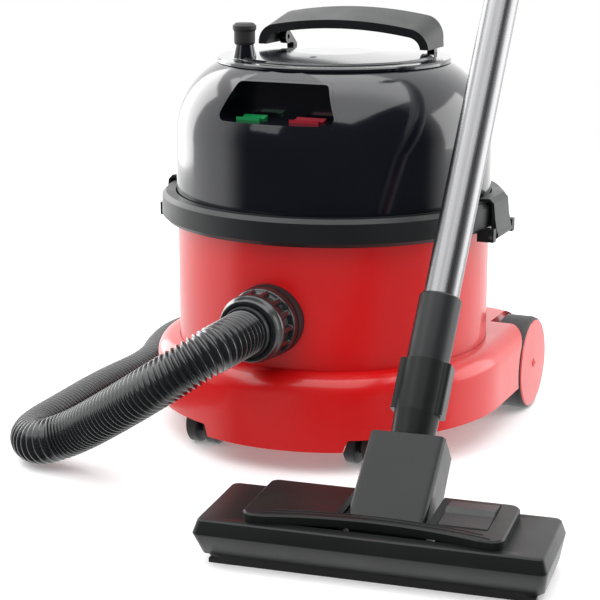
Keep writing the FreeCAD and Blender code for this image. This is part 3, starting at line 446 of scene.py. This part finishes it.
def panel_row(step, middle, rise):
    """A row of one panel, whose height changes by rise from its middle out to the seam."""
    turn = step / PANEL_STEPS * math.pi / 2
    return (BAG_WIDE * math.sin(turn) ** CROWN_ROUND, middle + rise * (1 - math.cos(turn)) ** CROWN_FLAT)


def add_dust_bag():
    """A fleece bag of two panels, seamed round its edge, crowned and creased towards the seam."""
    def creased(angle, radius, height):
        near = max(0, radius / BAG_WIDE - CREASE_START)
        fold = CREASE_DEPTH * near * math.sin(CREASES * angle + 2 * math.sin(3 * angle))
        slack = SLACK_DEPTH * noise.noise(Vector((SLACK_ROUND * math.cos(angle),
                                                  SLACK_ROUND * math.sin(angle), SLACK_UP * height)))
        way = 1 if height > SEAM_UP else -1
        sag = way * (fold + slack) if abs(height - SEAM_UP) > SEAM_CLEAR else 0
        return -abs(fold) * 0.5, min(sag, 0) if way > 0 else max(sag, 0)
    edge = BAG_WIDE + SEAM_OUT
    rows = [panel_row(step, BAG_LOW, SEAM_UP - BAG_LOW) for step in range(1, PANEL_STEPS + 1)]
    rows += [(edge, SEAM_UP), (edge, SEAM_UP + SEAM_THICK)]
    rows += [panel_row(step, BAG_HIGH, -(BAG_HIGH - SEAM_UP - SEAM_THICK))
             for step in range(PANEL_STEPS, 0, -1)]
    mesh = bmesh.new()
    rings = turned_rings(mesh, rows, BAG_SIDES, creased)
    for ring, height, flip in ((rings[0], BAG_LOW, True), (rings[-1], BAG_HIGH, False)):
        tip = mesh.verts.new((0, 0, height))
        for first, second in zip(ring, ring[1:] + ring[:1]):
            mesh.faces.new((second, first, tip) if flip else (first, second, tip))
    bag = finish_mesh("dust_bag_fleece", mesh)
    bag.data.materials.append(finishes["bag_fabric"])
    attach(bag, "machine")
    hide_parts("dust_bag")


# radius and height of the cloth's rings, from its flat floor up to the hoop
FILTER_ROWS = ((0.004, 0.1608), (0.03, 0.1608), (0.06, 0.1608), (0.088, 0.1612), (0.096, 0.1635),
               (0.105, 0.176), (0.116, 0.191), (0.128, 0.2075), (0.1385, 0.2222), (0.1408, 0.2262),
               (0.1408, 0.2325))
CLOTH_THICK, CLOTH_SIDES, CLOTH_HOLE = 0.001, 288, 0.01
FOLDS, FOLD_DEPTH, FOLD_LOW, FOLD_TALL = 48, 0.0016, 0.163, 0.06


def add_filter_cloth():
    """A round of filter cloth, gathered in radial folds under the hoop that holds its edge."""
    def folded(angle, radius, height):
        middle = max(0, math.sin(math.pi * (height - FOLD_LOW) / FOLD_TALL)) if height > FOLD_LOW else 0
        return -FOLD_DEPTH * middle * (1 + math.sin(FOLDS * angle)), 0
    mesh = bmesh.new()
    turned_rings(mesh, FILTER_ROWS, CLOTH_SIDES, folded)
    bmesh.ops.contextual_create(mesh, geom=[edge for edge in mesh.edges if edge.is_boundary
                                            and edge.verts[0].co.xy.length < CLOTH_HOLE])
    cloth = finish_mesh("filter_cloth_round", mesh)
    cloth.data.materials.append(finishes["filter_fabric"])
    thick = cloth.modifiers.new("thick", "SOLIDIFY")
    thick.thickness = CLOTH_THICK
    thick.offset = 0
    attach(cloth, "machine")
    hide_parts("filter_cloth")


# ---------------------------------------------------------------- fluted collar
COLLAR_BACK, INLET_UP = -0.1674, 0.145
FLUTES, FLUTE_STEPS = 14, 24
RIB_HALF, RIB_SLOPE = 0.14, 0.05  # shares of the pitch from rib to rib
COLLAR_ROWS = (  # radius, distance along, depth of the flutes, all in millimetres
    (24.7, 0, 0), (33.4, 0, 0), (34.3, 0.9, 0), (34.4, 2, 0), (34.4, 9, 0), (34.0, 10, 0),
    (33.4, 10.6, 0), (33.2, 11.0, 0.3), (33.1, 11.4, 3.6), (32.9, 13, 3.9), (32.4, 25, 3.9),
    (32.3, 26.6, 3.6), (32.3, 27.0, 0.3), (32.5, 27.4, 0), (33.0, 28, 0), (33.0, 31.5, 0),
    (32.2, 33, 0), (30.6, 36, 0), (29.6, 40.6, 0), (28.8, 41.5, 0), (24.7, 41.5, 0),
)


def flute_share(angle):
    """0 on a rib and 1 in a flute, with short slopes between."""
    turn = (angle * FLUTES / (2 * math.pi)) % 1
    edge = min(turn, 1 - turn)
    return min(1, max(0, (edge - RIB_HALF) / RIB_SLOPE))


def add_collar():
    """The screw collar on the inlet: a grip rim, a cage of ribs with deep flutes, a front rim."""
    mesh, rings = bmesh.new(), []
    for radius, far, deep in COLLAR_ROWS:
        ring = []
        for angle in turn_angles(FLUTES * FLUTE_STEPS):
            out = (radius - deep * flute_share(angle)) * MM
            ring.append(mesh.verts.new((out * math.cos(angle), COLLAR_BACK - far * MM,
                                        INLET_UP + out * math.sin(angle))))
        rings.append(ring)
    join_rings(mesh, rings + rings[:1])
    bmesh.ops.recalc_face_normals(mesh, faces=mesh.faces)
    collar = finish_mesh("fluted_collar", mesh)
    collar.data.materials.append(finishes["hose_plastic"])
    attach(collar, "collar")
    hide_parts("hose_collar")


# ---------------------------------------------------------------- floor tool
TOOL_PLACE, TOOL_TURN = (0.192, -0.352), 6.2
# the pod, in millimetres in the tool's frame: its top, and its front, which is hollowed in the middle
POD_TOP, POD_FRONT, POD_HOLLOW, POD_HALF, POD_MIDDLE = 50, -43.5, 14.5, 99, -1
BEADS = (("outer", 3.6, 0.55, -92, 97), ("inner", 9, 0.45, -84, 90))  # inset, radius, first, last
BEAD_STEPS, BEAD_SPACING, BEAD_SIDES, BEAD_UP = 60, 0.0012, 10, 0.05


def on_tool(across, back, up):
    """A point given in the floor tool's own frame, in millimetres."""
    point = Matrix.Rotation(math.radians(TOOL_TURN), 3, "Z") @ Vector((across, back, up)) * MM
    return point + Vector((*TOOL_PLACE, 0))


def add_tool_beads():
    """Raised lines moulded along the pod's hollow front."""
    for name, inset, radius, first, last in BEADS:
        points = []
        for step in range(BEAD_STEPS + 1):
            across = first + (last - first) * step / BEAD_STEPS
            back = POD_FRONT + POD_HOLLOW * (1 - ((across - POD_MIDDLE) / POD_HALF) ** 2)
            points.append(on_tool(across, back + inset, POD_TOP + BEAD_UP))
        stations, _ = even_stations(points, BEAD_SPACING)
        bead = sweep("tool_bead_" + name, stations, lambda index, wide=radius: wide * MM, BEAD_SIDES)
        bead.data.materials.append(finishes["tool_plastic"])
        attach(bead, "floor_tool")


COVER_ROWS = (  # height, left, right, front, back, corner, in millimetres in the tool's frame
    (8, -146, 141, -38, 44, 5), (28.8, -149.8, 144.8, -52.3, 46.8, 6),
    (30, -150, 145, -52.9, 47, 6), (31, -149.7, 144.7, -52.6, 46.8, 6),
    (40.8, -146.6, 141.6, -49.9, 44.8, 6), (41.8, -145.4, 140.4, -48.6, 43.6, 5.5),
    (42, -144, 139, -47, 42, 5), (42, -104, 100, -38, 36, 4),
)
# low and high corners of the rooms for the neck and the pedal, likewise
COVER_OPENINGS = (((-34.5, -22, 4), (42.5, 60, 60)), ((50, -24, 30), (92, 36, 60)))
CORNER_STEPS = 7
COVER_WALL, EDGE_WIDE, EDGE_STEPS, EDGE_LIMIT = 0.003, 0.0007, 2, 25


def rounded_loop(left, right, front, back, corner):
    """Points round a rectangle with round corners, anticlockwise."""
    points = []
    for across, deep, start in ((right, front, -90), (right, back, 0), (left, back, 90),
                                (left, front, 180)):
        x = across + (corner if across < 0 else -corner)
        y = deep + (corner if deep < 0 else -corner)
        for step in range(CORNER_STEPS + 1):
            angle = math.radians(start + 90 * step / CORNER_STEPS)
            points.append((x + corner * math.cos(angle), y + corner * math.sin(angle)))
    return points


def solid_box(name, low, high):
    """A box in the tool's frame, used only to cut with."""
    mesh = bmesh.new()
    corners = [[mesh.verts.new(on_tool(x, y, z)) for x, y in ((low[0], low[1]), (high[0], low[1]),
                                                              (high[0], high[1]), (low[0], high[1]))]
               for z in (low[2], high[2])]
    mesh.faces.new(reversed(corners[0]))
    mesh.faces.new(corners[1])
    join_rings(mesh, corners)
    return finish_mesh(name, mesh, False)


def applied(thing):
    """Bakes a thing's modifiers into its mesh."""
    graph = bpy.context.evaluated_depsgraph_get()
    graph.update()
    thing.data = bpy.data.meshes.new_from_object(thing.evaluated_get(graph))
    thing.modifiers.clear()


def add_tool_cover():
    """The tool's cover with crisp moulded edges: a sloping front over a drawn-in skirt."""
    mesh = bmesh.new()
    rings = [[mesh.verts.new(on_tool(x, y, height)) for x, y in rounded_loop(*edges)]
             for height, *edges in COVER_ROWS]
    join_rings(mesh, rings)
    cover = finish_mesh("tool_cover_shell", mesh, False)
    thick = cover.modifiers.new("thick", "SOLIDIFY")
    thick.thickness = COVER_WALL
    thick.offset = -1
    cutters = [solid_box("cutter_%d" % index, *corners) for index, corners in enumerate(COVER_OPENINGS)]
    for cutter in cutters:
        hole = cover.modifiers.new("hole", "BOOLEAN")
        hole.operation = "DIFFERENCE"
        hole.solver = "FAST"
        hole.object = cutter
    applied(cover)
    for cutter in cutters:
        bpy.data.objects.remove(cutter)
    edge = cover.modifiers.new("edge", "BEVEL")
    edge.width = EDGE_WIDE
    edge.segments = EDGE_STEPS
    edge.limit_method = "ANGLE"
    edge.angle_limit = math.radians(EDGE_LIMIT)
    applied(cover)
    cover.data.shade_smooth()
    cover.data.materials.clear()
    cover.data.materials.append(finishes["tool_plastic"])
    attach(cover, "floor_tool")
    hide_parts("tool_cover")


# ---------------------------------------------------------------- wheel plugs
WHEEL_FACE, AXLE_BACK, WHEEL_UP = 0.183, 0.122, 0.0495
PLUG_ROWS = ((0.0045, 0), (0.0045, 0.0005), (0.004, 0.0009), (0.0026, 0.001), (0.0022, 0.0004))
PLUG_SIDES, PLUG_SUNK = 36, 0.0002


def add_wheel_plugs():
    """A small round plug, dished in its middle, in the middle of each wheel's cover."""
    for name, side in (("left", -1), ("right", 1)):
        mesh = bmesh.new()
        rings = [[mesh.verts.new((side * (WHEEL_FACE - PLUG_SUNK + far),
                                  AXLE_BACK + radius * math.cos(angle),
                                  WHEEL_UP + radius * math.sin(angle)))
                  for angle in turn_angles(PLUG_SIDES)] for radius, far in PLUG_ROWS]
        join_rings(mesh, rings)
        mesh.faces.new(rings[0])
        mesh.faces.new(rings[-1])
        bmesh.ops.recalc_face_normals(mesh, faces=mesh.faces)
        plug = finish_mesh("wheel_plug_" + name, mesh)
        plug.data.materials.append(finishes["red_plastic"])
        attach(plug, "wheel_" + name)


# ---------------------------------------------------------------- floor and light
FLOOR_HALF, FLOOR_GLOW = 1.8, 0.2


def add_floor():
    """A plain pale floor, lit a little by itself so that it runs into the background."""
    mesh = bmesh.new()
    bmesh.ops.create_grid(mesh, x_segments=1, y_segments=1, size=FLOOR_HALF)
    floor = finish_mesh("floor", mesh)
    recipe = Recipe("floor")
    recipe.vary_colour((0.86, 0.86, 0.86), (0.88, 0.88, 0.88), 2)
    recipe.set(Roughness=0.6, Emission_Color=(1, 1, 1, 1), Emission_Strength=FLOOR_GLOW)
    floor.data.materials.append(recipe.material)
    floor.visible_glossy = False


def add_panel(name, place, target, size, power):
    """A soft box: a plain rectangular light that looks at a point."""
    light = bpy.data.lights.new(name, "AREA")
    light.shape = "RECTANGLE"
    light.size, light.size_y = size
    light.energy = power
    thing = bpy.data.objects.new(name, light)
    thing.location = place
    thing.rotation_euler = (Vector(target) - Vector(place)).to_track_quat("-Z", "Y").to_euler()
    bpy.context.scene.collection.objects.link(thing)


ROOM_LIGHT = (0.6, 0.6, 0.61, 1)
FRONT_WAY = (0.4, -0.9, 0)
# what surfaces mirror: dim where the world faces the front way, bright where it turns from it
MIRRORED = (("From Min", 0.4), ("From Max", 0.0), ("To Min", 0.045), ("To Max", 1.5))
MIDDLE = (0, 0, 0.25)
PANELS = (  # name, place, target, size, power
    ("left_panel", (-1.9, 0.75, 0.7), MIDDLE, (1.3, 1.6), 22),
    ("top_panel", (-0.3, -0.8, 2.4), (-0.3, -0.7, 0), (4.4, 3.6), 120),
    ("right_panel", (1.7, 1.2, 0.7), MIDDLE, (1.6, 1.5), 22),
    ("front_panel", (-1.3, -2.4, 1.7), MIDDLE, (1.2, 1.2), 8),
)


def add_world():
    """An even grey room, mirrored dim in front and bright round the sides, and seen as white."""
    world = bpy.data.worlds.new("studio")
    bpy.context.scene.world = world
    world.use_nodes = True
    tree = world.node_tree
    background = tree.nodes["Background"]
    background.inputs["Strength"].default_value = 1.0
    around = tree.nodes.new("ShaderNodeTexCoord")
    facing = tree.nodes.new("ShaderNodeVectorMath")
    facing.operation = "DOT_PRODUCT"
    facing.inputs[1].default_value = FRONT_WAY
    sides = tree.nodes.new("ShaderNodeMapRange")
    sides.interpolation_type = "SMOOTHSTEP"
    for entry, value in MIRRORED:
        sides.inputs[entry].default_value = value
    path = tree.nodes.new("ShaderNodeLightPath")
    room = tree.nodes.new("ShaderNodeMix")
    room.data_type = "RGBA"
    room.inputs["A"].default_value = ROOM_LIGHT
    seen = tree.nodes.new("ShaderNodeMix")
    seen.data_type = "RGBA"
    seen.inputs["B"].default_value = (1, 1, 1, 1)
    tree.links.new(around.outputs["Generated"], facing.inputs[0])
    tree.links.new(facing.outputs["Value"], sides.inputs["Value"])
    tree.links.new(sides.outputs["Result"], room.inputs["B"])
    tree.links.new(path.outputs["Is Glossy Ray"], room.inputs["Factor"])
    tree.links.new(room.outputs["Result"], seen.inputs["A"])
    tree.links.new(path.outputs["Is Camera Ray"], seen.inputs["Factor"])
    tree.links.new(seen.outputs["Result"], background.inputs["Color"])


add_camera()
finishes = make_materials()
add_hose()
add_dust_bag()
add_filter_cloth()
add_collar()
add_tool_cover()
add_tool_beads()
add_wheel_plugs()
dress_cad_nodes()
add_floor()
add_world()
for panel in PANELS:
    add_panel(*panel)
